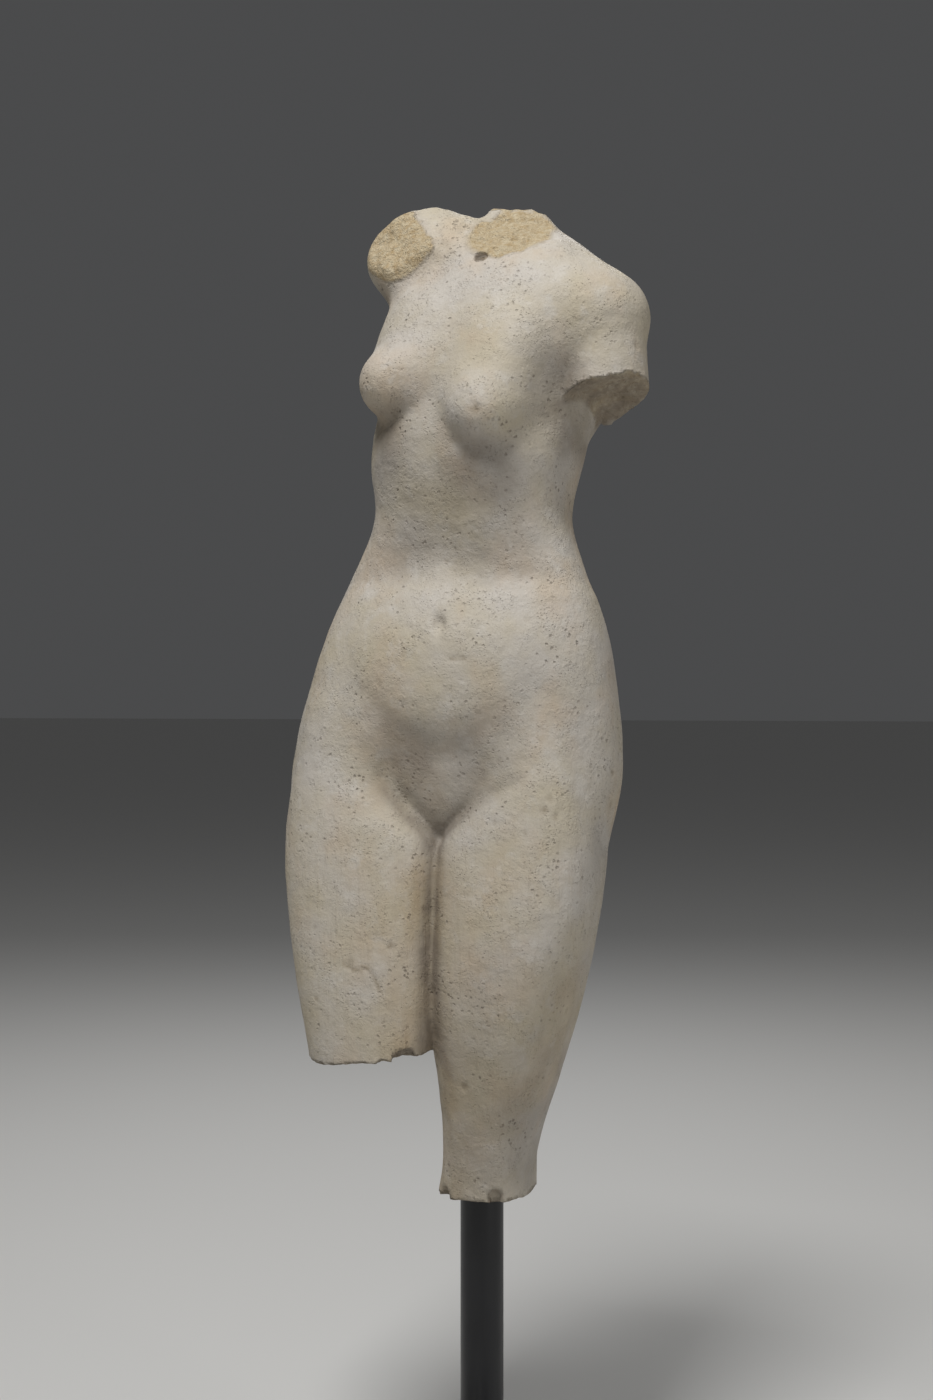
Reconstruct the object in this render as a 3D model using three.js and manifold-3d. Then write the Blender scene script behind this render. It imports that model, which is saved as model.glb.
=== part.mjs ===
/**
 * Marble torso of a standing woman, a little over half life size, on a round steel rod that stands in
 * a low square steel plate.
 *
 * The marble is one solid. Its body is written as a signed distance, in millimetres of the living
 * figure: the trunk and the two legs are tubes swept through named horizontal sections, the shoulders,
 * breasts, belly and seat are rounded masses melted into them, and the breaks are planes that cut them
 * off. One skin is then drawn around the sum and shrunk to the size the sculptor carved.
 *
 * Frame: millimetres, +Z up, the pelvis faces -Y, the figure's left is +X, the origin is on the
 * underside of the plate below the axis of the rod.
 */
import * as THREE from "three";
import { mergeVertices } from "three/addons/utils/BufferGeometryUtils.js";
import Module from "manifold-3d";

// ---- driving dimensions, millimetres of the finished piece
const REDUCTION = 0.581;
const ROD_DIAMETER = 25;
const ROD_SHOWING = 190;
const PLATE_SIDE = 240;
const PLATE_THICKNESS = 15;
const PLATE_CORNER = 4;
const PLATE_EASE = 1;
const PLATE_SEAT = 6;
const SOCKET_DEPTH = 40;
const CLEARANCE = 0.35;
const ROUND_STEPS = 48;

// ---- the figure, millimetres of the living body; heights are measured above the hidden knee
const KNEE_BREAK = 14;
const THIGH_BREAK = 160;
const CELL = 15.7;
const BODY_BOX = { low: [-232, -150, -9], high: [195, 155, 1014] };

// Horizontal sections: height, middle (x, y), half width, depth to the front, depth to the back,
// and the angle by which the section turns to the figure's right.
const TRUNK = {
  close: [300, -14, 6, 20, 34, 20, 0],
  crotch: [340, -22, 9, 100, 60, 66, 0],
  groin: [366, -26, 10, 139, 74, 84, 0],
  hips: [410, -31, 10, 166, 86, 96, 0],
  pelvis: [460, -27, 8, 166, 92, 101, 0],
  loins: [510, -22, 4, 157, 99, 96, 0],
  belly: [558, -17, 0, 146, 91, 86, 2],
  navel: [596, -15, -2, 134, 74, 78, 4],
  flank: [622, -15, -2, 123, 63, 74, 6],
  waist: [680, -9, -3, 101, 73, 72, 9],
  ribs: [740, -4, 2, 107, 93, 82, 12],
  breast: [800, 6, 4, 109, 92, 92, 14],
  armpit: [850, 14, 6, 114, 84, 94, 14],
  shoulder: [900, 17, 10, 109, 70, 86, 14],
  collar: [940, 18, 14, 86, 52, 70, 14],
  nape: [968, 24, 16, 46, 34, 48, 14],
  closeAbove: [990, 28, 18, 14, 12, 16, 14],
};
const LEFT_LEG = {
  knee: [0, 4, 4, 47, 52, 50],
  hollow: [50, 9, 4, 43, 58, 53],
  lower: [130, 20, 1, 57, 75, 61],
  middle: [210, 28, -4, 74, 88, 66],
  upper: [290, 39, -6, 80, 92, 70],
  root: [360, 43, 0, 81, 92, 78],
  joint: [430, 60, 4, 54, 85, 74],
  merge: [500, 56, 8, 40, 68, 54],
  close: [560, 48, 8, 12, 12, 12],
};
const RIGHT_LEG = {
  lower: [100, -91, -42, 55, 66, 62],
  middle: [200, -96, -34, 72, 80, 72],
  upper: [280, -101, -22, 83, 88, 76],
  root: [360, -104, -10, 89, 92, 84],
  joint: [430, -121, -2, 63, 86, 80],
  merge: [500, -110, 4, 50, 74, 58],
  close: [560, -88, 6, 12, 12, 12],
};

// ---- small vector algebra
const RADIAN = Math.PI / 180;
const less = (a, b) => a.map((v, i) => v - b[i]);
const dot = (a, b) => a.reduce((sum, v, i) => sum + v * b[i], 0);
const scaled = (a, k) => a.map((v) => v * k);
const plus = (a, b) => a.map((v, i) => v + b[i]);

/** Axes of a body part: its left, its back and its top, after leaning forward, dropping the left side
 * and turning to the figure's right. */
function axes(turn, drop, lean) {
  const matrix = new THREE.Matrix4()
    .multiply(new THREE.Matrix4().makeRotationZ(-turn * RADIAN))
    .multiply(new THREE.Matrix4().makeRotationY(drop * RADIAN))
    .multiply(new THREE.Matrix4().makeRotationX(lean * RADIAN));
  const columns = [new THREE.Vector3(), new THREE.Vector3(), new THREE.Vector3()];
  matrix.extractBasis(...columns);
  return columns.map((column) => column.toArray());
}

/** A point seen from the middle of a body part, along that part's own axes. */
const within = (point, part) => part.axes.map((axis) => dot(axis, less(point, part.middle)));

const CHEST = { middle: [4, 4, 800], axes: axes(14, 17, 6) };
const PELVIS = { middle: [-18, 6, 470], axes: axes(0, -5, 0) };
const CROTCH = [-26, -58, 370];

// Middles of each breast and of the slope above it, seen from the chest.
const BREASTS = [
  { middle: [47, -72, -3], above: [50, -41, 24] },
  { middle: [-56, -73, 1], above: [-66, -43, 28] },
];

// Breaks: a point on each face, the way it looks, and the radius of its shallow bowl.
const BREAKS = {
  neck: { middle: [33, -10, 959], normal: [0.04, -0.66, 0.75], bowl: 400 },
  nape: { middle: [30, 34, 986], normal: [0.26, 0.3, 0.92], bowl: 400 },
  rightShoulder: { middle: [-76, -26, 953], normal: [-0.28, -0.85, 0.42], bowl: 400 },
  leftArm: { middle: [129, -8, 800], normal: [0.3, -0.26, -1], bowl: 200 },
  rightThigh: { middle: [-104, -42, THIGH_BREAK], normal: [0.1, 0.08, -1], bowl: 600 },
  leftKnee: { middle: [5, 4, KNEE_BREAK], normal: [0, 0, -1], bowl: 900 },
};

// Furrows of the skin, each a bent line.
const BELLY_FOLD = [
  [-116, -62, 546], [-81, -84, 490], [-56, -94, 468], [-13, -101, 450], [33, -101, 461], [65, -96, 482],
  [80, -88, 508],
];
const LEFT_GROIN = [[-20, -66, 366], [25, -76, 402], [60, -86, 424]];
const RIGHT_GROIN = [[-24, -66, 366], [-48, -78, 396], [-75, -86, 431]];
const CLEFT = [[0, 116, -130], [0, 126, -40], [0, 104, 34]];
const SPINE = [[22, 88, 930], [-2, 96, 860], [-12, 78, 740], [-14, 66, 660], [-16, 84, 570], [-18, 102, 506]];
const LEFT_SEAT_FOLD = [[0, 104, 362], [34, 108, 352], [72, 92, 356]];
const RIGHT_SEAT_FOLD = [[-34, 104, 362], [-72, 102, 352], [-116, 82, 356]];

// ---- distances
/** Two distances melted into one solid; the seam is rounded over the reach. */
function melt(a, b, reach) {
  const share = THREE.MathUtils.clamp(0.5 + (0.5 * (b - a)) / reach, 0, 1);
  return b + (a - b) * share - reach * share * (1 - share);
}

/** A solid kept only where a second one is too; the edge is rounded over the reach. */
const trim = (a, b, reach) => -melt(-a, -b, reach);

/** A number that goes from start to end while a value goes from low to high, slow at both ends. */
const eased = (value, low, high, start, end) => (
  start + (end - start) * THREE.MathUtils.smoothstep(value, low, high)
);

/** A form kept behind one break, whose face is a shallow bowl about a middle that lies out along the
 * way the face looks. */
function brokenOff(d, point, { middle, normal, bowl }, edge) {
  const out = plus(middle, scaled(normal, bowl / Math.hypot(...normal)));
  return trim(d, bowl - Math.hypot(...less(point, out)), edge);
}

/** Distance to a rounded mass with its own radii. */
function mass(point, middle, radii, turning = null) {
  const way = less(point, middle);
  const local = turning ? turning.map((axis) => dot(axis, way)) : way;
  const near = Math.hypot(...local.map((v, i) => v / radii[i])) + 1e-9;
  const steep = Math.hypot(...local.map((v, i) => v / radii[i] ** 2)) + 1e-9;
  return (near * (near - 1)) / steep;
}

/** Distance to a limb that runs between two points and changes radius on the way. */
function limb(point, from, to, radiusFrom, radiusTo) {
  const way = less(to, from);
  const along = THREE.MathUtils.clamp(dot(less(point, from), way) / dot(way, way), 0, 1);
  const off = less(point, plus(from, scaled(way, along)));
  return Math.hypot(...off) - radiusFrom - (radiusTo - radiusFrom) * along;
}

/** The section of a tube at a height: one smooth curve through the named sections. */
function sectionAt(rows, height) {
  const last = rows.length - 1;
  const z = THREE.MathUtils.clamp(height, rows[0][0], rows[last][0]);
  let i = 0;
  while (i < last - 1 && rows[i + 1][0] < z) {
    i += 1;
  }
  const step = rows[i + 1][0] - rows[i][0];
  const t = (z - rows[i][0]) / step;
  const slope = (k, column) => {
    const a = rows[Math.max(k - 1, 0)];
    const b = rows[Math.min(k + 1, last)];
    return (b[column] - a[column]) / (b[0] - a[0]);
  };
  return rows[i].slice(1).map((value, index) => {
    const column = index + 1;
    const start = (1 + 2 * t) * (1 - t) ** 2 * value + t * (1 - t) ** 2 * step * slope(i, column);
    const end = t * t * (3 - 2 * t) * rows[i + 1][column] + t * t * (t - 1) * step * slope(i + 1, column);
    return start + end;
  });
}

/** Distance to a tube whose sections are rounded rectangles, deeper or flatter at the back. */
function tube([x, y, z], sections, squareness) {
  const rows = Object.values(sections);
  const [middleX, middleY, width, front, back, turn = 0] = sectionAt(rows, z);
  const angle = turn * RADIAN;
  const across = (x - middleX) * Math.cos(angle) - (y - middleY) * Math.sin(angle);
  const deep = (x - middleX) * Math.sin(angle) + (y - middleY) * Math.cos(angle);
  const depth = deep < 0 ? front : back;
  const out = Math.hypot(across, deep) + 1e-6;
  const reach = ((Math.abs(across) / width) ** squareness + (Math.abs(deep) / depth) ** squareness)
    ** (1 / squareness) + 1e-9;
  const ends = Math.max(rows[0][0] - z, z - rows.at(-1)[0]);
  return Math.max(out * (1 - 1 / reach), ends);
}

/** A soft hollow, as deep as named in its middle, with its own reach along each axis. */
function hollow(point, middle, reach, depth) {
  const way = less(point, middle).map((v, i) => v / reach[i]);
  return depth * Math.exp(-dot(way, way));
}

/** A soft groove along a bent line. */
function groove(point, line, width, depth) {
  const off = Math.min(...line.slice(1).map((end, i) => limb(point, line[i], end, 0, 0)));
  return depth * Math.exp(-((off / width) ** 2));
}

// ---- the body
/** Ribcage, shoulders, breasts and neck, with the breaks of the neck, the right shoulder and the arm. */
function chest(point) {
  const own = within(point, CHEST);
  let d = tube(point, TRUNK, 2.35);
  for (const side of [1, -1]) {
    const blade = mass(own, [side * 56, 54, 44], [42, 40, 66], axes(-12 * side, -14 * side, 0));
    d = melt(d, blade, 26);
  }
  d = melt(d, limb(point, [44, 14, 934], [113, 5, 869], 36, 48), 30);
  d = melt(d, limb(point, [36, 24, 932], [-52, 10, 957], 32, 44), 22);
  d = melt(d, limb(point, [-60, 8, 882], [-76, 4, 943], 40, 45), 18);
  d = brokenOff(d, point, BREAKS.rightShoulder, 3);
  d += hollow(point, [-112, -16, 894], [26, 44, 22], 14);
  const throat = limb(point, [34, 20, 890], [28, 14, 1040], 40, 25);
  d = melt(d, brokenOff(throat, point, BREAKS.nape, 6), 18);
  d = brokenOff(d, point, BREAKS.neck, 5);
  const softness = eased(own[2], -34, 34, 11, 36);
  for (const { middle, above } of BREASTS) {
    const out = axes(-0.3 * middle[0], 0, 0);
    const breast = mass(own, middle, [37, 42, 37], out);
    const slope = mass(own, above, [37, 32, 54], out);
    d = melt(d, melt(breast, slope, 26), softness);
  }
  d += hollow(point, [86, -72, 800], [20, 40, 46], 13);
  d += groove(point, SPINE, 15, 7);
  const arm = limb(point, [117, -3, 864], [131, -11, 700], 49, 47);
  return melt(d, brokenOff(arm, point, BREAKS.leftArm, 1), eased(point[2], 812, 900, 3, 34));
}

/** The whole torso: chest, belly, seat and the two broken legs with the stone left between them. */
function figure(point) {
  const own = within(point, PELVIS);
  let d = melt(chest(point), mass(own, [6, -44, 64], [90, 58, 92]), 30);
  d = melt(d, mass(own, [-4, -42, 24], [74, 50, 48]), 32);
  for (const side of [1, -1]) {
    d = melt(d, mass(own, [side * 60, 56, -42], [70, 64, 78]), 26);
  }
  d = melt(d, mass(point, [-12, -22, 420], [58, 54, 56]), 20);
  const left = brokenOff(tube(point, LEFT_LEG, 2.8), point, BREAKS.leftKnee, 1);
  const joined = melt(tube(point, RIGHT_LEG, 2.8), limb(point, [-30, -20, 90], [-27, -22, 340], 44, 44), 5);
  const legs = melt(left, brokenOff(joined, point, BREAKS.rightThigh, 1), 7);
  d += hollow(point, [-24, -74, 392], [30, 40, 28], 4);
  d = melt(d, legs, eased(Math.hypot(...less(point, CROTCH)), 45, 120, 3, 28));
  d += hollow(own, [14, -108, 102], [6, 40, 9], 6);
  d += groove(point, BELLY_FOLD, 16, 2);
  d += groove(point, LEFT_GROIN, 8, 2.5) + groove(point, RIGHT_GROIN, 8, 2.5);
  d += groove(own, CLEFT, 9, 12);
  d += groove(point, LEFT_SEAT_FOLD, 11, 4) + groove(point, RIGHT_SEAT_FOLD, 11, 4);
  return d;
}

/** Direction in which a distance grows. */
function outward(field, point) {
  const step = 0.5;
  const grown = [0, 1, 2].map((axis) => {
    const ahead = [...point];
    const behind = [...point];
    ahead[axis] += step;
    behind[axis] -= step;
    return field(ahead) - field(behind);
  });
  return scaled(grown, 1 / (Math.hypot(...grown) + 1e-9));
}

/**
 * The skin of a distance. Space is divided into cubes; every cube the surface passes through gets one
 * point, pulled onto the tangent planes where the surface crosses the cube's edges so that the rims of
 * the breaks stay sharp, and every crossed edge gets the four-sided face of the cubes around it.
 */
function skin(field, { low, high }, cell) {
  const count = low.map((from, i) => Math.ceil((high[i] - from) / cell) + 1);
  const index = (i, j, k) => (i * count[1] + j) * count[2] + k;
  const corner = (i, j, k) => [low[0] + i * cell, low[1] + j * cell, low[2] + k * cell];
  const value = new Float64Array(count[0] * count[1] * count[2]);
  for (let i = 0; i < count[0]; i += 1) {
    for (let j = 0; j < count[1]; j += 1) {
      for (let k = 0; k < count[2]; k += 1) {
        value[index(i, j, k)] = field(corner(i, j, k));
      }
    }
  }
  const crossings = new Map();
  const faces = [];
  const units = [[1, 0, 0], [0, 1, 0], [0, 0, 1]];
  for (let i = 1; i < count[0] - 1; i += 1) {
    for (let j = 1; j < count[1] - 1; j += 1) {
      for (let k = 1; k < count[2] - 1; k += 1) {
        units.forEach((unit, axis) => {
          const here = value[index(i, j, k)];
          const there = value[index(i + unit[0], j + unit[1], k + unit[2])];
          if (here < 0 === there < 0) {
            return;
          }
          const at = plus(corner(i, j, k), scaled(unit, (cell * here) / (here - there)));
          const touch = { at, normal: outward(field, at) };
          const u = units[(axis + 1) % 3];
          const v = units[(axis + 2) % 3];
          const ring = [[1, 1], [0, 1], [0, 0], [1, 0]].map(([a, b]) => {
            const cube = less(less([i, j, k], scaled(u, a)), scaled(v, b));
            const key = index(...cube);
            if (!crossings.has(key)) {
              crossings.set(key, { cube, touches: [], number: crossings.size });
            }
            crossings.get(key).touches.push(touch);
            return crossings.get(key).number;
          });
          faces.push(here < 0 ? ring : ring.reverse());
        });
      }
    }
  }
  const margin = cell / 20;
  const points = [...crossings.values()].map(({ cube, touches }) => {
    const from = corner(...cube);
    let point = scaled(touches.map(({ at }) => at).reduce(plus), 1 / touches.length);
    for (let round = 0; round < 12; round += 1) {
      const pulls = touches.map(({ at, normal }) => scaled(normal, dot(normal, less(at, point))));
      point = plus(point, scaled(pulls.reduce(plus), 0.8 / touches.length));
      point = point.map((v, i) => THREE.MathUtils.clamp(v, from[i] + margin, from[i] + cell - margin));
    }
    return point;
  });
  const span = (a, b) => Math.hypot(...less(points[a], points[b]));
  const triangles = faces.flatMap(([a, b, c, d]) => (
    span(a, c) <= span(b, d) ? [[a, b, c], [a, c, d]] : [[a, b, d], [b, c, d]]
  ));
  return { points, triangles };
}

// ---- solids
const wasm = await Module();
wasm.setup();

/** A closed surface handed to the cutter. */
function solidOf(points, triangles) {
  const mesh = new wasm.Mesh({
    numProp: 3,
    vertProperties: new Float32Array(points.flat()),
    triVerts: new Uint32Array(triangles.flat()),
  });
  mesh.merge();
  return new wasm.Manifold(mesh);
}

/** A three.js geometry handed to the cutter. */
function solidOfGeometry(geometry) {
  geometry.deleteAttribute("normal");
  geometry.deleteAttribute("uv");
  const welded = mergeVertices(geometry, 1e-4);
  const place = welded.getAttribute("position");
  const points = Array.from({ length: place.count }, (_, i) => [place.getX(i), place.getY(i), place.getZ(i)]);
  const order = Array.from(welded.index.array);
  const triangles = Array.from({ length: order.length / 3 }, (_, i) => order.slice(3 * i, 3 * i + 3));
  const whole = triangles.filter(([a, b, c]) => a !== b && b !== c && c !== a);
  return solidOf(points, whole);
}

/** Back from the cutter: flat-shaded geometry. */
function geometryOf(solid) {
  const { vertProperties, triVerts } = solid.getMesh();
  const geometry = new THREE.BufferGeometry();
  geometry.setAttribute("position", new THREE.BufferAttribute(new Float32Array(vertProperties), 3));
  geometry.setIndex(new THREE.BufferAttribute(new Uint32Array(triVerts), 1));
  geometry.computeVertexNormals();
  return geometry;
}

/** An upright round bar between two heights, turned from its profile. */
function bar(radius, bottom, top, ease) {
  const profile = [
    [0, bottom],
    [radius - ease, bottom],
    [radius, bottom + ease],
    [radius, top - ease],
    [radius - ease, top],
    [0, top],
  ].map(([r, z]) => new THREE.Vector2(r, z));
  return new THREE.LatheGeometry(profile, ROUND_STEPS).rotateX(Math.PI / 2);
}

/** The square plate with rounded corners and eased edges. */
function plate() {
  const half = PLATE_SIDE / 2 - PLATE_EASE;
  const inner = half - PLATE_CORNER;
  const outline = new THREE.Shape();
  outline.moveTo(-inner, -half);
  [[1, -1], [1, 1], [-1, 1], [-1, -1]].forEach(([sx, sy], quarter) => {
    const start = (quarter - 1) * (Math.PI / 2);
    outline.absarc(sx * inner, sy * inner, PLATE_CORNER, start, start + Math.PI / 2, false);
  });
  const body = new THREE.ExtrudeGeometry(outline, {
    depth: PLATE_THICKNESS - 2 * PLATE_EASE,
    bevelSize: PLATE_EASE,
    bevelThickness: PLATE_EASE,
    bevelSegments: 1,
    curveSegments: 6,
  });
  return body.translate(0, 0, PLATE_EASE);
}

/** A named piece with its own material. */
function piece(name, geometry, color, roughness, metalness) {
  const mesh = new THREE.Mesh(geometry, new THREE.MeshStandardMaterial({ color, roughness, metalness }));
  mesh.name = name;
  return mesh;
}

// ---- the three pieces
const rodBottom = PLATE_THICKNESS - PLATE_SEAT + CLEARANCE;
const torsoBottom = PLATE_THICKNESS + ROD_SHOWING;
const rodTop = torsoBottom + SOCKET_DEPTH;
const boreRadius = ROD_DIAMETER / 2 + CLEARANCE;

const body = skin(figure, BODY_BOX, CELL);
const carved = body.points.map(([x, y, z]) => [
  REDUCTION * x,
  REDUCTION * y,
  torsoBottom + REDUCTION * (z - KNEE_BREAK),
]);
const socket = solidOfGeometry(bar(boreRadius, torsoBottom - ROD_DIAMETER, rodTop + CLEARANCE, 1));
const torso = solidOf(carved, body.triangles).subtract(socket);
const seat = solidOfGeometry(bar(boreRadius, PLATE_THICKNESS - PLATE_SEAT, torsoBottom, 1));
const drilledPlate = solidOfGeometry(plate()).subtract(seat);
const rod = solidOfGeometry(bar(ROD_DIAMETER / 2, rodBottom, rodTop, 1));

const group = new THREE.Group();
group.name = "marble_torso";
group.add(piece("torso", geometryOf(torso), 0xcfc4b2, 0.75, 0));
group.add(piece("support_rod", geometryOf(rod), 0x14161a, 0.35, 0.6));
group.add(piece("base_plate", geometryOf(drilledPlate), 0x17181b, 0.45, 0.6));

export default group;
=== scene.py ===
from collections import namedtuple

import bpy
import numpy as np
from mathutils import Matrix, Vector


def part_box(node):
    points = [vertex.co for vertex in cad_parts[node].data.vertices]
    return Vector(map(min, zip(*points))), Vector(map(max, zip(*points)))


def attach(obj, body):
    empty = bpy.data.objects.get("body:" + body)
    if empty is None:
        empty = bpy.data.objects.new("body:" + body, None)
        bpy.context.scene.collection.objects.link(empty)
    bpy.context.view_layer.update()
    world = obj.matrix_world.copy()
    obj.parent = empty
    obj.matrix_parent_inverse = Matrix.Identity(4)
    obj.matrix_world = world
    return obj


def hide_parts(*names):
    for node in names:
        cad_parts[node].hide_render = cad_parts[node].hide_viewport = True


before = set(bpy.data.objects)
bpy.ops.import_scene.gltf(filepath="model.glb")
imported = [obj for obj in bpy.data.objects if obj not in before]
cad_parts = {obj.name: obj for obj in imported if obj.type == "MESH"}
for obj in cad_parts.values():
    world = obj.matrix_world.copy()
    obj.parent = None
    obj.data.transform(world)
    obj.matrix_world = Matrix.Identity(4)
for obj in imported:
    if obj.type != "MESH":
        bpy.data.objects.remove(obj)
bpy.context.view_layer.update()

# Looks of a broken marble torso on a steel rod. The frame gives every piece its place, in metres;
# the carving is worked out in millimetres of the living body and shrunk to the size it was carved.

TORSO_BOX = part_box("torso")
ROD_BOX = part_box("support_rod")
PLATE_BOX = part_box("base_plate")
MM = 0.001
ROD_RADIUS = (ROD_BOX[1][0] - ROD_BOX[0][0]) / 2
SEAT_RADIUS = ROD_RADIUS + 0.35 * MM
PLATE_CORNER = 4 * MM
PLATE_EASE = 1.2 * MM
ROD_EASE = 0.5 * MM

# ---- driving sizes of the figure, millimetres of the living body above the hidden knee
REDUCTION = 0.581
LIFE = REDUCTION * MM
KNEE_BREAK = 14
THIGH_BREAK = 160
CELL = 3.3
BODY_LOW = (-215, -150, -4)
BODY_HIGH = (195, 155, 1014)
SLAB = 24  # layers of the lattice worked out at a time
PULLS = 12  # times that a point of the skin is pulled onto its tangent planes
SOCKET_PLAY = 0.8
SOCKET_SPARE = 2
SOCKET_RADIUS = ROD_RADIUS / LIFE + SOCKET_PLAY
SOCKET_TOP = KNEE_BREAK + (ROD_BOX[1][2] - TORSO_BOX[0][2]) / LIFE + SOCKET_SPARE
TRUNK_SQUARENESS = 2.35
LEG_SQUARENESS = 2.8

# Horizontal sections: height, middle x and y, half width, depth to the front and to the back,
# and the angle by which the section turns to the figure's right.
TRUNK = {
    "close": (300, -14, 6, 20, 34, 20, 0),
    "crotch": (340, -22, 9, 100, 60, 66, 0),
    "groin": (366, -26, 10, 139, 74, 84, 0),
    "hips": (410, -31, 10, 166, 86, 96, 0),
    "pelvis": (460, -27, 8, 166, 92, 101, 0),
    "loins": (510, -22, 4, 157, 99, 96, 0),
    "belly": (558, -17, 0, 146, 91, 86, 2),
    "navel": (596, -15, -2, 134, 74, 78, 4),
    "flank": (622, -15, -2, 123, 63, 74, 6),
    "waist": (680, -9, -3, 101, 73, 72, 9),
    "ribs": (740, -4, 2, 107, 93, 82, 12),
    "breast": (800, 6, 4, 109, 92, 92, 14),
    "armpit": (850, 14, 6, 114, 84, 94, 14),
    "shoulder": (900, 17, 10, 109, 70, 86, 14),
    "collar": (940, 18, 14, 86, 52, 70, 14),
    "nape": (968, 24, 16, 46, 34, 48, 14),
    "close_above": (990, 28, 18, 14, 12, 16, 14),
}
LEFT_LEG = {
    "knee": (0, 4, 4, 47, 52, 50),
    "hollow": (50, 9, 4, 43, 58, 53),
    "lower": (130, 20, 1, 57, 75, 61),
    "middle": (210, 28, -4, 74, 88, 66),
    "upper": (290, 39, -6, 80, 92, 70),
    "root": (360, 43, 0, 81, 92, 78),
    "joint": (430, 60, 4, 54, 85, 74),
    "merge": (500, 56, 8, 40, 68, 54),
    "close": (560, 48, 8, 12, 12, 12),
}
RIGHT_LEG = {
    "lower": (100, -91, -42, 55, 66, 62),
    "middle": (200, -96, -34, 72, 80, 72),
    "upper": (280, -101, -22, 83, 88, 76),
    "root": (360, -104, -10, 89, 92, 84),
    "joint": (430, -121, -2, 63, 86, 80),
    "merge": (500, -110, 4, 50, 74, 58),
    "close": (560, -88, 6, 12, 12, 12),
}

Part = namedtuple("Part", "middle axes")
Break = namedtuple("Break", "middle normal bowl reach roughness ochre")


def axes(turn, drop, lean):
    """Left, back and top of a body part as the columns of a rotation: lean forward, then let the left
    side drop, then turn to the figure's right, each in degrees."""
    t, d, l = np.radians([turn, drop, lean])
    turning = np.array([[np.cos(t), np.sin(t), 0], [-np.sin(t), np.cos(t), 0], [0, 0, 1]])
    dropping = np.array([[np.cos(d), 0, np.sin(d)], [0, 1, 0], [-np.sin(d), 0, np.cos(d)]])
    leaning = np.array([[1, 0, 0], [0, np.cos(l), -np.sin(l)], [0, np.sin(l), np.cos(l)]])
    return turning @ dropping @ leaning


CHEST = Part((4, 4, 800), axes(14, 17, 6))
CROTCH = (-26, -58, 370)
# Middles of each breast and of the slope above it, seen from the chest.
BREASTS = (((47, -72, -3), (50, -41, 24)), ((-56, -73, 1), (-66, -43, 28)))
PELVIS = Part((-18, 6, 470), axes(0, -5, 0))

BREAKS = {
    "neck": Break((33, -10, 959), (0.04, -0.66, 0.75), 400, 50, 5.0, 1.0),
    "nape": Break((30, 34, 986), (0.26, 0.30, 0.92), 400, 44, 3.5, 0.9),
    "right_shoulder": Break((-76, -26, 953), (-0.28, -0.85, 0.42), 400, 62, 5.0, 1.0),
    "left_arm": Break((129, -8, 800), (0.30, -0.26, -1.0), 200, 56, 5.0, 0.35),
    "right_thigh": Break((-104, -42, THIGH_BREAK), (0.10, 0.08, -1.0), 600, 96, 4.0, 0.3),
    "left_knee": Break((5, 4, KNEE_BREAK), (0.0, 0.0, -1.0), 900, 70, 2.4, 0.15),
}
# Splinters gone from the rims: middle and radius.
CHIPS = (
    ((-46, -98, 154), 13), ((-64, -108, 150), 7), ((30, -50, 18), 9), ((-26, -42, 16), 7),
    ((150, -54, 806), 7), ((172, -26, 804), 8), ((12, -42, 932), 8), ((-60, -40, 985), 7),
    ((-112, -30, 926), 8), ((-88, -14, 152), 9), ((44, 20, 12), 6),
)

# Furrows of the skin, each a bent line.
BELLY_FOLD = (
    (-116, -62, 546), (-81, -84, 490), (-56, -94, 468), (-13, -101, 450), (33, -101, 461), (65, -96, 482),
    (80, -88, 508),
)
LEFT_GROIN = ((-20, -66, 366), (25, -76, 402), (60, -86, 424))
RIGHT_GROIN = ((-24, -66, 366), (-48, -78, 396), (-75, -86, 431))
STERNUM = ((-22, -92, 880), (-26, -100, 800), (-20, -96, 700), (-18, -90, 650))
# Cracks on the front, as lines of x and z only: they follow the skin wherever it lies.
THIGH_CRACK = ((-104, 0, 247), (-92, 0, 242), (-80, 0, 245), (-72, 0, 234), (-66, 0, 222))
BELLY_CRACK = ((1, 0, 538), (7, 0, 540), (15, 0, 540))
NIPPLE = (30, -113, 772)
CLEFT = ((0, 116, -130), (0, 126, -40), (0, 104, 34))
SPINE = ((22, 88, 930), (-2, 96, 860), (-12, 78, 740), (-14, 66, 660), (-16, 84, 570), (-18, 102, 506))
LEFT_SEAT_FOLD = ((0, 104, 362), (34, 108, 352), (72, 92, 356))
RIGHT_SEAT_FOLD = ((-34, 104, 362), (-72, 102, 352), (-116, 82, 356))


# ---- noise: values fixed by the place alone, so every run is the same
def chance(cell, seed):
    """A number from 0 to 1 for each cube of space: the three counts of the cube and the seed are
    multiplied by large odd numbers and their bits are stirred."""
    i, j, k = (np.asarray(c).astype(np.int64).astype(np.uint32) for c in cell)
    h = i * np.uint32(73856093) ^ j * np.uint32(19349663) ^ k * np.uint32(83492791)
    h ^= np.uint32(seed * 2654435761 % 2**32)
    for shift, factor in ((15, 2246822519), (13, 3266489917)):
        h = (h ^ (h >> np.uint32(shift))) * np.uint32(factor)
    return ((h ^ (h >> np.uint32(16))) / np.float64(2**32)).astype(np.float32)


def grain(p, size, seed):
    """Smooth random swelling from -1 to 1: chance at the eight corners of cubes of this size, mixed
    by the smooth step 3t^2 - 2t^3 along each axis."""
    at = p / size
    cell = np.floor(at)
    t = at - cell
    t = t * t * (3 - 2 * t)
    total = 0
    for corner in np.ndindex(2, 2, 2):
        weight = 1
        for axis in range(3):
            weight = weight * (t[axis] if corner[axis] else 1 - t[axis])
        total = total + weight * chance([cell[axis] + corner[axis] for axis in range(3)], seed)
    return 2 * total - 1


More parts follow.
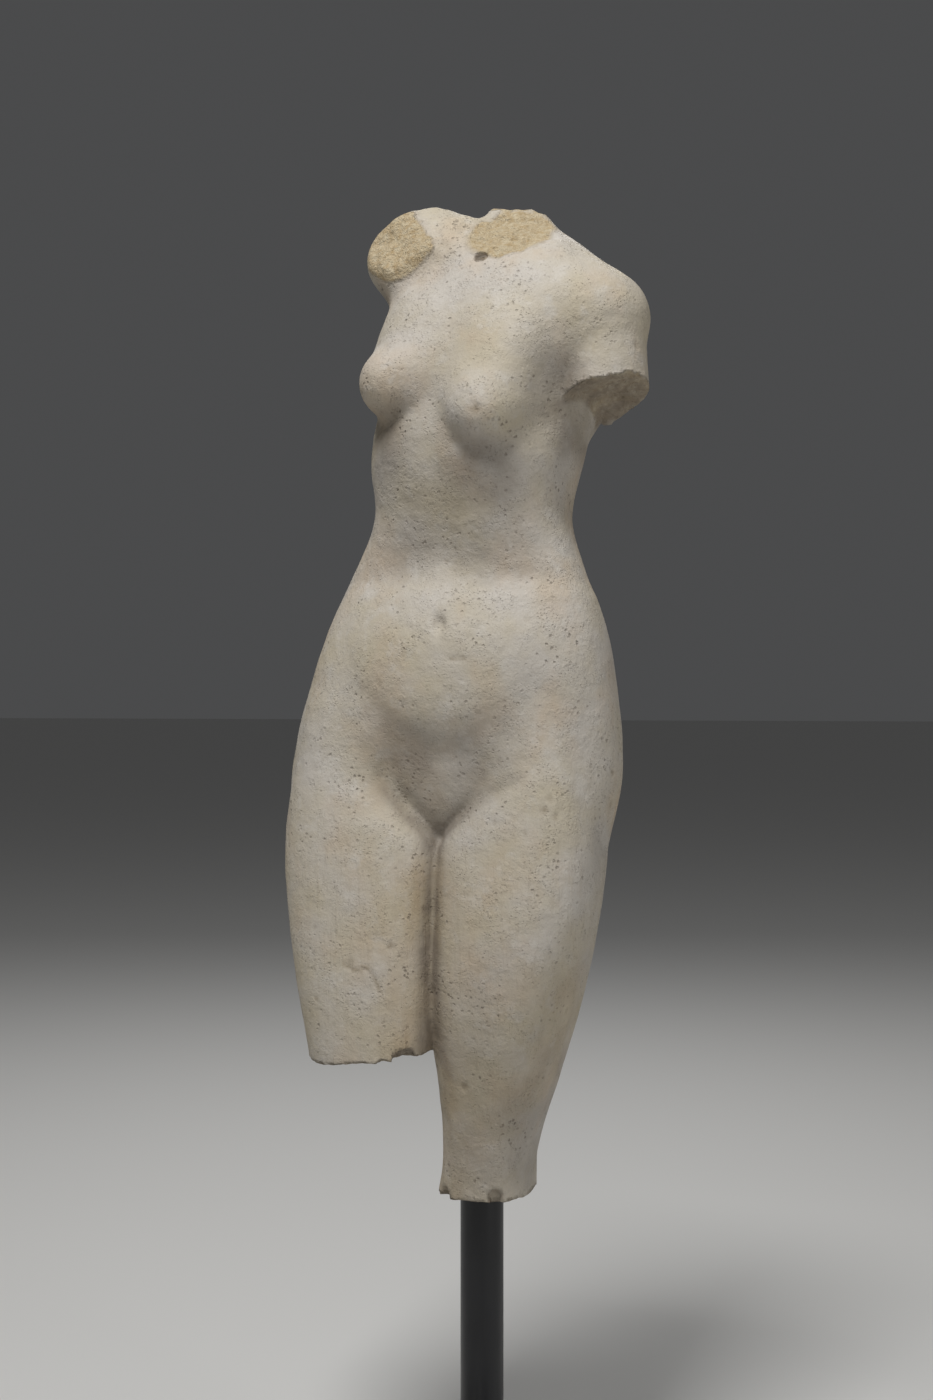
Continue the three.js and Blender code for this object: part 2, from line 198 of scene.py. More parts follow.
def rubble(p, size, seed):
    """Surface of broken stone: three swellings, each half as large and half as high as the last."""
    return sum(grain(p, size / 2**n, seed + n) / 2**n for n in range(3)) / 1.75


def pits(p, size, share, seed):
    """Round pits, from 0 outside to 1 at the bottom: a share of the cubes of this size hold one ball
    at a chance place, and its depth is 1 minus the squared distance over the squared radius."""
    cell = np.floor(p / size)
    depth = np.zeros(p.shape[1], np.float32)
    for step in np.ndindex(3, 3, 3):
        near = [cell[axis] + step[axis] - 1 for axis in range(3)]
        middle = [(near[axis] + chance(near, seed + axis)) * size for axis in range(3)]
        radius = size * (0.22 + 0.26 * chance(near, seed + 3))
        square = sum((p[axis] - middle[axis]) ** 2 for axis in range(3)) / radius**2
        held = chance(near, seed + 4) < share
        depth = np.maximum(depth, np.where(held, 1 - square, 0))
    return depth


# ---- distances: every function takes points as three rows and gives millimetres outside the form
def column(values):
    """A fixed point or direction as a column, to meet the three rows of points."""
    return np.array(values, np.float32)[:, None]


def within(p, part):
    """Points seen from the middle of a body part, along its own axes."""
    return part.axes.T.astype(np.float32) @ (p - column(part.middle))


def melt(a, b, reach):
    """Two distances melted into one solid: the smaller of the two, with the seam filled over the
    reach by a parabola."""
    share = np.clip(0.5 + 0.5 * (b - a) / reach, 0, 1)
    return b + (a - b) * share - reach * share * (1 - share)


def trim(a, b, reach):
    """A solid kept only where a second one is too, with the edge rounded over the reach."""
    return -melt(-a, -b, reach)


def past_break(p, crack):
    """Distance past the face of a break: a shallow bowl, so its radius less the way to its middle,
    which lies out along the face's normal."""
    unit = np.array(crack.normal) / np.linalg.norm(crack.normal)
    return crack.bowl - np.linalg.norm(p - column(crack.middle + unit * crack.bowl), axis=0)


def mass(p, middle, radii, turning=None):
    """A rounded mass: the point's distance in units of the three radii, over the steepness of that
    measure, so that it counts millimetres near the surface."""
    way = p - column(middle)
    if turning is not None:
        way = turning.T.astype(np.float32) @ way
    near = np.linalg.norm(way / column(radii), axis=0) + 1e-6
    steep = np.linalg.norm(way / column(radii) ** 2, axis=0) + 1e-6
    return near * (near - 1) / steep


def limb(p, start, end, start_radius, end_radius):
    """A round limb between two points: distance to its axis less a radius that changes evenly."""
    way = np.array(end, np.float32) - np.array(start, np.float32)
    along = np.clip(way @ (p - column(start)) / (way @ way), 0, 1)
    off = np.linalg.norm(p - column(start) - way[:, None] * along, axis=0)
    return off - start_radius - (end_radius - start_radius) * along


def sections_at(rows, height):
    """Sections at many heights: cubic curves through the named ones, each with the slope of the line
    between its two neighbours."""
    rows = np.array(rows, np.float32)
    levels, values = rows[:, 0], rows[:, 1:]
    last = len(levels) - 1
    before = np.maximum(np.arange(last + 1) - 1, 0)
    after = np.minimum(np.arange(last + 1) + 1, last)
    slopes = (values[after] - values[before]) / (levels[after] - levels[before])[:, None]
    z = np.clip(height, levels[0], levels[-1])
    i = np.clip(np.searchsorted(levels, z) - 1, 0, last - 1)
    step = (levels[i + 1] - levels[i])[:, None]
    t = ((z - levels[i])[:, None]) / step
    start = (1 + 2 * t) * (1 - t) ** 2 * values[i] + t * (1 - t) ** 2 * step * slopes[i]
    end = t * t * (3 - 2 * t) * values[i + 1] + t * t * (t - 1) * step * slopes[i + 1]
    return (start + end).T


def tube(p, sections, squareness):
    """A tube through horizontal sections, each a superellipse with its own depth in front and
    behind: distance from its middle times one less one over the superellipse's measure."""
    rows = list(sections.values())
    section = sections_at(rows, p[2])
    middle_x, middle_y, width, front, back = section[:5]
    angle = np.radians(section[5]) if len(section) > 5 else 0
    x, y = p[0] - middle_x, p[1] - middle_y
    across = x * np.cos(angle) - y * np.sin(angle)
    deep = x * np.sin(angle) + y * np.cos(angle)
    depth = np.where(deep < 0, front, back)
    measure = (np.abs(across) / width) ** squareness + (np.abs(deep) / depth) ** squareness
    side = np.hypot(across, deep) * (1 - (measure + 1e-9) ** (-1 / squareness))
    return np.maximum(side, np.maximum(rows[0][0] - p[2], p[2] - rows[-1][0]))


def eased(value, low, high, start, end):
    """A number that goes from start to end while a value goes from low to high, by 3t^2 - 2t^3."""
    t = np.clip((value - low) / (high - low), 0, 1)
    return start + (end - start) * t * t * (3 - 2 * t)


def hollow(p, middle, reach, depth):
    """A soft dent: a bell curve of its depth with its own reach along each axis."""
    return depth * np.exp(-(((p - column(middle)) / column(reach)) ** 2).sum(0))


def groove(p, line, width, depth):
    """A soft furrow: a bell curve of its depth across a bent line."""
    off = np.min([limb(p, a, b, 0, 0) for a, b in zip(line, line[1:])], axis=0)
    return depth * np.exp(-((off / width) ** 2))


# ---- the body
def broken_off(d, p, name, edge, rough):
    """The form kept behind one break, whose face is a shallow bowl roughened by broken stone."""
    crack = BREAKS[name]
    return trim(d, past_break(p, crack) + crack.roughness * rough, edge)


def chest(p, rough):
    """Ribcage, shoulders, breasts and neck, with the breaks of the neck, right shoulder and arm."""
    own = within(p, CHEST)
    d = tube(p, TRUNK, TRUNK_SQUARENESS)
    for side in (1, -1):
        blade = mass(own, (side * 56, 54, 44), (42, 40, 66), axes(-12 * side, -14 * side, 0))
        d = melt(d, blade, 26)
    d = melt(d, limb(p, (44, 14, 934), (113, 5, 869), 36, 48), 30)
    d = melt(d, limb(p, (36, 24, 932), (-52, 10, 957), 32, 44), 22)
    d = melt(d, limb(p, (-60, 8, 882), (-76, 4, 943), 40, 45), 18)
    d = broken_off(d, p, "right_shoulder", 3, rough)
    d = d + hollow(p, (-112, -16, 894), (26, 44, 22), 14)
    throat = limb(p, (34, 20, 890), (28, 14, 1040), 40, 25)
    d = melt(d, broken_off(throat, p, "nape", 6, rough), 18)
    d = broken_off(d, p, "neck", 5, rough)
    softness = eased(own[2], -34, 34, 11, 36)
    for middle, above in BREASTS:
        out = axes(-0.3 * middle[0], 0, 0)
        breast = melt(mass(own, middle, (37, 42, 37), out), mass(own, above, (37, 32, 54), out), 26)
        d = melt(d, breast, softness)
    d = d + hollow(p, (86, -72, 800), (20, 40, 46), 13) + hollow(p, NIPPLE, (5, 9, 5), 1.6)
    d = d + groove(p, STERNUM, 14, 2) + groove(p, SPINE, 15, 7)
    arm = broken_off(limb(p, (117, -3, 864), (131, -11, 700), 49, 47), p, "left_arm", 1, rough)
    return melt(d, arm, eased(p[2], 812, 900, 3, 34))


def figure(p):
    """The whole torso: chest, seat, belly and legs, with the stone left between the thighs, less the
    furrows, the chips and the socket of the rod."""
    own = within(p, PELVIS)
    rough = rubble(p, 15, 11)
    d = chest(p, rough)
    d = melt(d, mass(own, (6, -44, 64), (90, 58, 92)), 30)
    d = melt(d, mass(own, (-4, -42, 24), (74, 50, 48)), 32)
    for side in (1, -1):
        d = melt(d, mass(own, (side * 60, 56, -42), (70, 64, 78)), 26)
    d = melt(d, mass(p, (-12, -22, 420), (58, 54, 56)), 20)
    left = broken_off(tube(p, LEFT_LEG, LEG_SQUARENESS), p, "left_knee", 1, rough)
    between = limb(p, (-30, -20, 90), (-27, -22, 340), 44, 44)
    right = melt(tube(p, RIGHT_LEG, LEG_SQUARENESS), between, 5)
    right = broken_off(right, p, "right_thigh", 1, rough)
    legs = melt(left, right, 7)
    far = np.linalg.norm(p - column(CROTCH), axis=0)
    d = d + hollow(p, (-24, -74, 392), (30, 40, 28), 4)
    d = melt(d, legs, eased(far, 45, 120, 3, 28))
    d = d + hollow(own, (14, -108, 102), (6, 40, 9), 6)
    d = d + groove(p, BELLY_FOLD, 16, 2)
    d = d + groove(p, LEFT_GROIN, 8, 2.5) + groove(p, RIGHT_GROIN, 8, 2.5)
    d = d + groove(own, CLEFT, 9, 12)
    d = d + groove(p, LEFT_SEAT_FOLD, 11, 4) + groove(p, RIGHT_SEAT_FOLD, 11, 4)
    for middle, radius in CHIPS:
        ball = np.linalg.norm(p - column(middle), axis=0) - radius
        d = trim(d, -ball - 3 * rough, 1)
    drill = np.maximum(np.hypot(p[0], p[1]) - SOCKET_RADIUS, p[2] - SOCKET_TOP)
    return np.maximum(d, -drill)


# ---- the skin of a distance
def sampled(field, low, high, cell):
    """Distances on a lattice of cubes, worked out one thick slab after another."""
    ax, ay, az = (np.arange(a, b + cell, cell, dtype=np.float32) for a, b in zip(low, high))
    slabs = []
    for start in range(0, len(az), SLAB):
        grid = np.meshgrid(ax, ay, az[start:start + SLAB], indexing="ij")
        shape = grid[0].shape
        slabs.append(field(np.stack([g.ravel() for g in grid])).reshape(shape))
    return np.concatenate(slabs, axis=2)


def slope(field, p):
    """Unit direction in which a distance grows, from differences over half a millimetre."""
    step = 0.5 * np.eye(3, dtype=np.float32)
    grown = np.stack([field(p + s[:, None]) - field(p - s[:, None]) for s in step])
    return grown / (np.linalg.norm(grown, axis=0) + 1e-9)


def skin(field, low, high, cell):
    """Points and four-sided faces around a distance. Every lattice edge that crosses the surface
    gives a face between the four cubes around it; each cube's point is the mean of its crossings,
    then pulled onto the tangent planes there and kept inside the cube, so that the rims of the breaks
    stay sharp."""
    value = sampled(field, low, high, cell)
    inside = value < 0
    inner = np.array(value.shape) - 1
    touch_cube, touch_at, faces = [], [], []
    for axis in range(3):
        unit, u, v = (np.eye(3, dtype=int)[(axis + n) % 3] for n in range(3))
        here = np.argwhere(np.diff(inside, axis=axis))
        here = here[((here > 0) & (here < inner)).all(1)]
        a, b = value[tuple(here.T)], value[tuple((here + unit).T)]
        at = here + unit * (a / (a - b))[:, None]
        ring = np.stack([here - s * u - t * v for s, t in ((1, 1), (0, 1), (0, 0), (1, 0))], axis=1)
        ring[a >= 0] = ring[a >= 0][:, ::-1]
        cubes = ring @ (inner[1] * inner[2], inner[2], 1)
        faces.append(cubes)
        touch_cube.append(cubes.ravel())
        touch_at.append(np.repeat(at, 4, axis=0))
    used, order = np.unique(np.concatenate(touch_cube), return_inverse=True)
    touch_at = (np.concatenate(touch_at) * cell + low).astype(np.float32)
    touch_normal = slope(field, touch_at.T).T
    count = np.bincount(order)[:, None]
    origin = np.stack(np.unravel_index(used, inner), axis=1) * cell + low

    def gathered(rows):
        """Mean of the crossings' rows for each cube."""
        return np.stack([np.bincount(order, rows[:, k]) for k in range(3)], axis=1) / count

    points = gathered(touch_at)
    for _ in range(PULLS):
        gap = ((touch_at - points[order]) * touch_normal).sum(1)
        points = points + 0.8 * gathered(touch_normal * gap[:, None])
        points = np.clip(points, origin, origin + cell)
    quads = np.searchsorted(used, np.concatenate(faces))
    return points.T.astype(np.float32), quads


# ---- what weather, burial and the break did to the skin, and painted shade, millimetres of the living body
PORE_SIZE = 13
PORE_SHARE = 0.07
PORE_DEPTH = 1.8
CRACK_WIDTH = 1.9
CRACK_DEPTH = 1.2


def near_break(p, normals, name):
    """1 on the face of a break and 0 off it: within its reach, close to its bowl and facing its way."""
    crack = BREAKS[name]
    unit = np.array(crack.normal) / np.linalg.norm(crack.normal)
    off = np.abs(past_break(p, crack))
    way = np.linalg.norm(p - column(crack.middle), axis=0)
    facing = np.clip((unit @ normals - 0.25) / 0.35, 0, 1)
    close = np.clip((crack.roughness + 5 - off) / 4, 0, 1)
    return facing * close * np.clip((crack.reach - way) / 11, 0, 1)


def mesh_object(name, points, faces, smooth=True):
    """A closed mesh in metres from rows of points and an array or list of faces."""
    mesh = bpy.data.meshes.new(name)
    mesh.from_pydata(points.tolist(), [], faces if isinstance(faces, list) else faces.tolist())
    mesh.polygons.foreach_set("use_smooth", np.full(len(mesh.polygons), smooth))
    mesh.validate()
    made = bpy.data.objects.new(name, mesh)
    bpy.context.scene.collection.objects.link(made)
    return made


def paint(piece, name, values):
    """A value for every point of a piece, for its material to read."""
    layer = piece.data.attributes.new(name, "FLOAT", "POINT")
    layer.data.foreach_set("value", values.astype(np.float32))


def closed_in(p, normals, out, up, margin):
    """How shut in the skin is, from 0 to 1: the room at a place this far out and up from it, set
    against the room that a flat wall leaves there."""
    return np.clip(margin - figure(p + out * normals + column((0, 0, up))) / out, 0, 1)


def carve_torso():
    """The torso: the skin of the figure, pitted and worn, shrunk to its carved size and set down on
    its place in the frame."""
    p, quads = skin(figure, BODY_LOW, BODY_HIGH, CELL)
    normals = slope(figure, p)
    faces = {name: near_break(p, normals, name) for name in BREAKS}
    broken = np.max(list(faces.values()), axis=0)
    ochre = np.max([faces[name] * crack.ochre for name, crack in BREAKS.items()], axis=0)
    # How shut in the skin is in fine creases, in hollows and under overhangs, for the painted shade below.
    crease_shade = closed_in(p, normals, 9, 0, 1.15)
    sunk = closed_in(p, normals, 34, 0, 1.05)
    sheltered = closed_in(p, normals, 26, 64, 1)
    clusters = np.clip(grain(p, 70, 8) + 0.25, 0, 1)
    pores = pits(p, PORE_SIZE, PORE_SHARE, 21) * clusters * (1 - broken)
    swelling = 0.5 * grain(p, 46, 3) + 0.3 * grain(p, 15, 5)
    front = p * column((1, 0, 1))
    crack = groove(front, THIGH_CRACK, CRACK_WIDTH, 1) + groove(front, BELLY_CRACK, CRACK_WIDTH, 1)
    crack = crack * (normals[1] < 0)
    p = p + normals * (swelling * (1 - broken) - PORE_DEPTH * pores - CRACK_DEPTH * crack)
    floor = np.array([0, 0, TORSO_BOX[0][2] - KNEE_BREAK * LIFE])
    torso = mesh_object("carved_marble", p.T * LIFE + floor, quads)
    inner_thighs = np.exp(-((p[0] + 30) / 34) ** 2) * eased(p[2], 330, 372, 1, 0)
    paint(torso, "broken", broken)
    paint(torso, "ochre", ochre)
    worn_tip = np.exp(-((np.linalg.norm(p - column(NIPPLE), axis=0) / 6) ** 2))
    # Dirt in pits and cracks and on the worn nipple, with painted shade in fine creases.
    paint(torso, "dirt_and_crease_shade", np.clip(crease_shade + 1.4 * pores + crack + worn_tip, 0, 1))
    # Painted shade: darkening under overhangs and in hollows, which the material turns grey.
    paint(torso, "painted_shade", np.clip(0.55 * sheltered + 0.7 * sunk, 0, 0.75))
    paint(torso, "stain", inner_thighs)
    paint(torso, "rasped", eased(p[2], 330, 430, 1, 0) * (1 - broken))
    return torso


def turned_bar(name, radius, low, high, rings, sides):
    """A drawn bar: a circle carried up through evenly spaced heights, its rims eased, and closed with
    a point in the middle of each end."""
    ease = ROD_EASE
    between = np.linspace(low + ease, high - ease, rings)[1:-1]
    heights = np.concatenate([[low, low + ease], between, [high - ease, high]])
    radii = np.full(len(heights), radius)
    radii[[0, -1]] -= ease
    turn = np.linspace(0, 2 * np.pi, sides, endpoint=False)
    x, y = np.outer(radii, np.cos(turn)), np.outer(radii, np.sin(turn))
    points = np.stack([x, y, np.repeat(heights[:, None], sides, axis=1)], axis=-1).reshape(-1, 3)
    points = np.concatenate([points, [[0, 0, low], [0, 0, high]]])
    here = np.arange(sides)
    after = (here + 1) % sides
    rows = np.arange(len(heights) - 1)[:, None] * sides
    walls = np.stack([rows + here, rows + after, rows + sides + after, rows + sides + here], axis=-1)
    top = (len(heights) - 1) * sides
    foot = np.stack([after, here, np.full(sides, len(points) - 2)], axis=1)
    head = np.stack([top + here, top + after, np.full(sides, len(points) - 1)], axis=1)
    return mesh_object(name, points, walls.reshape(-1, 4).tolist() + foot.tolist() + head.tolist())


def rounded_square(half, corner, count):
    """Points round a square with quarter-circle corners: each corner's arc about a point that lies
    one corner radius in from both sides."""
    turn = np.linspace(0, np.pi / 2, count)
    arcs = []
    for quarter in range(4):
        facing = quarter * np.pi / 2
        middle = (half - corner) * np.sqrt(2)
        x = middle * np.cos(facing + np.pi / 4) + corner * np.cos(facing + turn)
        y = middle * np.sin(facing + np.pi / 4) + corner * np.sin(facing + turn)
        arcs.append(np.stack([x, y], axis=1))
    return np.concatenate(arcs)


def flat_foot(name, low, high):
    """The foot: a rounded square carried round an eased section, with a seat sunk in its top for the
    rod. Each ring is an outline and a height; rings inside the seat are circles."""
    half = (high[0] - low[0]) / 2
    seat = SEAT_RADIUS
    outline = rounded_square(half, PLATE_CORNER, 9)
    angle = np.arctan2(outline[:, 1], outline[:, 0])
    circle = np.stack([np.cos(angle), np.sin(angle)], axis=1)
    ease = PLATE_EASE
    point = 0.2 * MM
    seat_floor = ROD_BOX[0][2] - 0.2 * MM
    rings = [(circle * point, seat_floor), (circle * seat, seat_floor)]
    rings += [(circle * seat, high[2] - ease), (circle * (seat + 0.3 * ease), high[2] - 0.3 * ease)]
    rings += [(circle * (seat + ease), high[2])]
    for share in (0.1, 0.3, 0.6):
        rings.append(((1 - share) * circle * (seat + ease) + share * outline * (1 - ease / half), high[2]))
    turn = np.linspace(0, np.pi / 2, 5)
    for inset, fall in zip(ease * (1 - np.sin(turn)), ease * (1 - np.cos(turn))):
        rings.append((outline * (1 - inset / half), high[2] - fall))
    for inset, fall in zip(ease * (1 - np.cos(turn)), ease * (1 - np.sin(turn))):
        rings.append((outline * (1 - inset / half), low[2] + fall))
    rings.append((circle * point, low[2]))
    points = np.concatenate([np.column_stack([ring, np.full(len(ring), z)]) for ring, z in rings])
    count = len(outline)
    here = np.arange(count)
    after = (here + 1) % count
    rows = np.arange(len(rings) - 1)[:, None] * count
    walls = np.stack([rows + count + here, rows + count + after, rows + after, rows + here], axis=-1)
    caps = [here[::-1].tolist(), (here + (len(rings) - 1) * count).tolist()]
    return mesh_object(name, points, walls.reshape(-1, 4).tolist() + caps, smooth=False)


# ---- materials
def linear(code):
    """An sRGB hex colour as linear red, green, blue and alpha."""
    parts = np.array([int(code[i:i + 2], 16) for i in (1, 3, 5)]) / 255
    low = parts / 12.92
    high = ((parts + 0.055) / 1.055) ** 2.4
    return (*np.where(parts <= 0.04045, low, high), 1.0)


def add(tree, kind, links=None, **settings):
    """A node of a kind, with its settings and with its sockets filled by values or other outputs."""
    node = tree.nodes.new("ShaderNode" + kind)
    for key, value in settings.items():
        setattr(node, key, value)
    for key, value in (links or {}).items():
        if isinstance(value, bpy.types.NodeSocket):
            tree.links.new(value, node.inputs[key])
        else:
            node.inputs[key].default_value = value
    return node


def new_material(name):
    """An empty material with its shader joined to its output."""
    material = bpy.data.materials.new(name)
    material.use_nodes = True
    return material, material.node_tree, material.node_tree.nodes["Principled BSDF"]


def mapped(tree, place, stretch):
    """Coordinates stretched by a factor along each axis."""
    return add(tree, "Mapping", {"Vector": place, "Scale": stretch}).outputs["Vector"]


def noise(tree, place, size, detail=3.0, roughness=0.55):
    """Soft noise whose main swellings are this many metres across."""
    links = {"Vector": place, "Scale": 1 / size, "Detail": detail, "Roughness": roughness}
    return add(tree, "TexNoise", links).outputs["Fac"]


def cells(tree, place, size):
    """Distance to the middles of round cells this many metres across, in units of a cell."""
    links = {"Vector": place, "Scale": 1 / size, "Randomness": 1.0}
    return add(tree, "TexVoronoi", links).outputs["Distance"]


def steps(tree, value, low, high):
    """A value brought from the range low to high to the range 0 to 1 and kept there."""
    links = {"Value": value, "From Min": low, "From Max": high}
    return add(tree, "MapRange", links, clamp=True).outputs["Result"]


def math(tree, operation, a, b):
    """Two values put together by a named operation."""
    return add(tree, "Math", {0: a, 1: b}, operation=operation).outputs["Value"]


def blend(tree, factor, a, b, kind="MIX"):
    """One colour over another, by a factor; a text is a hex colour."""
    links = {"Factor": factor}
    for socket, value in (("A", a), ("B", b)):
        links[socket] = linear(value) if isinstance(value, str) else value
    node = tree.nodes.new("ShaderNodeMix")
    node.data_type = "RGBA"
    node.blend_type = kind
    for socket, value in links.items():
        wanted = [s for s in node.inputs if s.name == socket and s.enabled][0]
        if isinstance(value, bpy.types.NodeSocket):
            tree.links.new(value, wanted)
        else:
            wanted.default_value = value
    return [s for s in node.outputs if s.enabled][0]


def attribute(tree, name):
    """A value painted on the points of the piece."""
    return add(tree, "Attribute", attribute_name=name).outputs["Fac"]


def bumps(tree, layers):
    """Fine relief from several heights, each with how many metres it stands for."""
    normal = None
    for height, metres in layers:
        links = {"Height": height, "Distance": metres}
        if normal is not None:
            links["Normal"] = normal
        normal = add(tree, "Bump", links).outputs["Normal"]
    return normal


def weathered_marble():
    """Carved white marble that has lain buried: cream and grey clouds, pores and worm-fine pits with earth
    in them, rasp lines down the thighs, brown seepage, granular ochre breaks, and painted shade in creases
    and hollows."""
    material, tree, shader = new_material("weathered_carved_marble")
    place = add(tree, "TexCoord").outputs["Object"]
    broken = attribute(tree, "broken")
    # Clouds of cream and pinkish grey a hand wide: the stone never looks like one coat of paint.
    clouds = steps(tree, noise(tree, place, 0.055, 4.0), 0.38, 0.62)
    tone = blend(tree, clouds, "#cfc8be", "#cdc2ab")
    warm = steps(tree, noise(tree, mapped(tree, place, (1.0, 1.0, 0.7)), 0.034, 4.0), 0.50, 0.72)
    tone = blend(tree, math(tree, "MULTIPLY", warm, 0.55), tone, "#cdb79c")
    pale = steps(tree, noise(tree, place, 0.016, 5.0, 0.65), 0.54, 0.72)
    tone = blend(tree, math(tree, "MULTIPLY", pale, 0.6), tone, "#ddd8d0")
    # Crystal grain of half a millimetre, which gives the close-up sparkle of stone.
    crystals = noise(tree, place, 0.0009, 2.0, 0.7)
    tone = blend(tree, math(tree, "MULTIPLY", steps(tree, crystals, 0.40, 0.66), 0.25), tone, "#b3a795")
    # Rasp lines run down the thighs, two or three millimetres apart.
    streaks = noise(tree, mapped(tree, place, (1.0, 1.0, 0.06)), 0.0028, 4.0, 0.65)
    rasped = math(tree, "MULTIPLY", attribute(tree, "rasped"), steps(tree, streaks, 0.50, 0.74))
    tone = blend(tree, math(tree, "MULTIPLY", rasped, 0.16), tone, "#b7a68d")
    # Yellow-brown seepage on the inner thighs.
    seep = steps(tree, noise(tree, mapped(tree, place, (1.0, 1.0, 0.3)), 0.018, 4.0), 0.30, 0.62)
    seep = math(tree, "MULTIPLY", seep, attribute(tree, "stain"))
    tone = blend(tree, math(tree, "MULTIPLY", seep, 0.65), tone, "#b79f7c")
    # Pores: small cells of which the deepest middles are open, bent out of round, in clusters.
    bent = add(tree, "TexNoise", {"Vector": place, "Scale": 1 / 0.0022, "Detail": 2.0}).outputs["Color"]
    bend = add(tree, "VectorMath", {0: bent, "Scale": 0.0018}, operation="SCALE").outputs["Vector"]
    bent = add(tree, "VectorMath", {0: place, 1: bend}, operation="ADD").outputs["Vector"]
    open_here = steps(tree, noise(tree, place, 0.021, 3.0), 0.47, 0.66)
    pore = math(tree, "MULTIPLY", steps(tree, cells(tree, bent, 0.0036), 0.28, 0.12), open_here)
    worn = steps(tree, noise(tree, place, 0.014, 4.0), 0.40, 0.60)
    fine = math(tree, "MULTIPLY", steps(tree, cells(tree, bent, 0.0015), 0.30, 0.12), worn)
    holes = math(tree, "MAXIMUM", pore, math(tree, "MULTIPLY", fine, 0.5))
    tone = blend(tree, math(tree, "MULTIPLY", holes, 0.55), tone, "#75685a")
    # Earth left in pits and cracks and on the worn nipple, and painted shade in fine creases, both
    # darkened towards brown.
    dirt_and_crease_shade = attribute(tree, "dirt_and_crease_shade")
    caught = steps(tree, noise(tree, place, 0.006, 4.0), 0.25, 0.60)
    dirt_and_shade_here = math(tree, "MULTIPLY", steps(tree, dirt_and_crease_shade, 0.25, 1.0), caught)
    tone = blend(tree, math(tree, "MULTIPLY", dirt_and_shade_here, 0.55), tone, "#8d7c63")
    # Broken faces: sugary, granular, stained ochre where iron has seeped in.
    rubble_tone = noise(tree, place, 0.0040, 5.0, 0.75)
    raw = blend(tree, steps(tree, rubble_tone, 0.34, 0.66), "#a09484", "#c4b9a7")
    iron = blend(tree, steps(tree, rubble_tone, 0.32, 0.68), "#c0a67c", "#e0d2b4")
    patchy = math(tree, "MULTIPLY", noise(tree, place, 0.010, 4.0), 0.9)
    soft = steps(tree, math(tree, "ADD", attribute(tree, "ochre"), patchy), 0.55, 1.25)
    face = blend(tree, soft, raw, iron)
    edge = steps(tree, math(tree, "ADD", broken, patchy), 0.60, 1.30)
    tone = blend(tree, edge, tone, face)
    # Painted shade: undersides and hollows are darkened towards grey, broken up by a soft noise, where
    # shade falls.
    uneven = steps(tree, noise(tree, place, 0.022, 4.0), 0.10, 0.60)
    shade_here = math(tree, "MULTIPLY", attribute(tree, "painted_shade"), uneven)
    tree.links.new(blend(tree, shade_here, tone, "#796e62"), shader.inputs["Base Color"])
    # Worn skin has a low dull sheen that varies with the clouds; breaks have none.
    sheen = steps(tree, math(tree, "ADD", math(tree, "MULTIPLY", clouds, 0.4), edge), 0.0, 1.2)
    rough = add(tree, "MapRange", {"Value": sheen, "To Min": 0.58, "To Max": 0.92}).outputs["Result"]
    tree.links.new(rough, shader.inputs["Roughness"])
    granular = math(tree, "MULTIPLY", edge, noise(tree, place, 0.0030, 4.0, 0.75))
    shader.inputs["Specular IOR Level"].default_value = 0.35
    etched = math(tree, "MULTIPLY", worn, noise(tree, place, 0.0024, 4.0, 0.65))
    relief = bumps(tree, (
        (noise(tree, place, 0.0060, 4.0, 0.6), 0.0007), (crystals, 0.00018), (rasped, 0.0002),
        (etched, 0.0006), (math(tree, "SUBTRACT", 1.0, holes), 0.0006), (granular, 0.0022)))
    tree.links.new(relief, shader.inputs["Normal"])
    return material


def satin_black(name, dusty):
    """Satin black stoving paint on steel: a faint orange peel a millimetre across, a sheen that
    varies, and pale dust that lies on faces that look up."""
    material, tree, shader = new_material(name)
    place = add(tree, "TexCoord").outputs["Object"]
    cloud = noise(tree, place, 0.030, 4.0)
    tone = blend(tree, steps(tree, cloud, 0.35, 0.65), "#0b0c10", "#121317")
    up = add(tree, "SeparateXYZ", {"Vector": add(tree, "NewGeometry").outputs["Normal"]}).outputs["Z"]
    drift = steps(tree, noise(tree, place, 0.025, 6.0, 0.6), 0.25, 0.85)
    dust = math(tree, "MULTIPLY", steps(tree, up, 0.4, 1.0), drift)
    dust = math(tree, "MULTIPLY", dust, dusty)
    tree.links.new(blend(tree, dust, tone, "#6d6a64"), shader.inputs["Base Color"])
    scuffs = noise(tree, mapped(tree, place, (1.0, 1.0, 0.08)), 0.0022, 4.0, 0.7)
    links = {"Value": scuffs, "From Min": 0.3, "From Max": 0.7, "To Min": 0.30, "To Max": 0.44}
    gloss = add(tree, "MapRange", links).outputs["Result"]
    tree.links.new(gloss, shader.inputs["Roughness"])
    peel = noise(tree, place, 0.0012, 2.0)
    tree.links.new(bumps(tree, ((peel, 0.00004), (cloud, 0.0002))), shader.inputs["Normal"])
    return material


def finish(piece, part, material):
    """Gives a piece its material and puts it in place of its part in the frame."""
    piece.data.materials.append(material)
    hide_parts(part)
    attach(piece, "root")


finish(carve_torso(), "torso", weathered_marble())
bar = turned_bar("painted_bar", ROD_RADIUS, ROD_BOX[0][2], ROD_BOX[1][2], 60, 96)
finish(bar, "support_rod", satin_black("satin_black_stoving_paint", 0.3))
foot = flat_foot("painted_foot", *PLATE_BOX)
finish(foot, "base_plate", satin_black("satin_black_paint_with_dust", 0.28))

# ---- stage
scene = bpy.context.scene
scene.view_settings.view_transform = "Standard"
VIEW_AZIMUTH = np.radians(18)
TOWARDS = np.array([np.sin(VIEW_AZIMUTH), -np.cos(VIEW_AZIMUTH), 0])
ACROSS = np.array([np.cos(VIEW_AZIMUTH), np.sin(VIEW_AZIMUTH), 0])


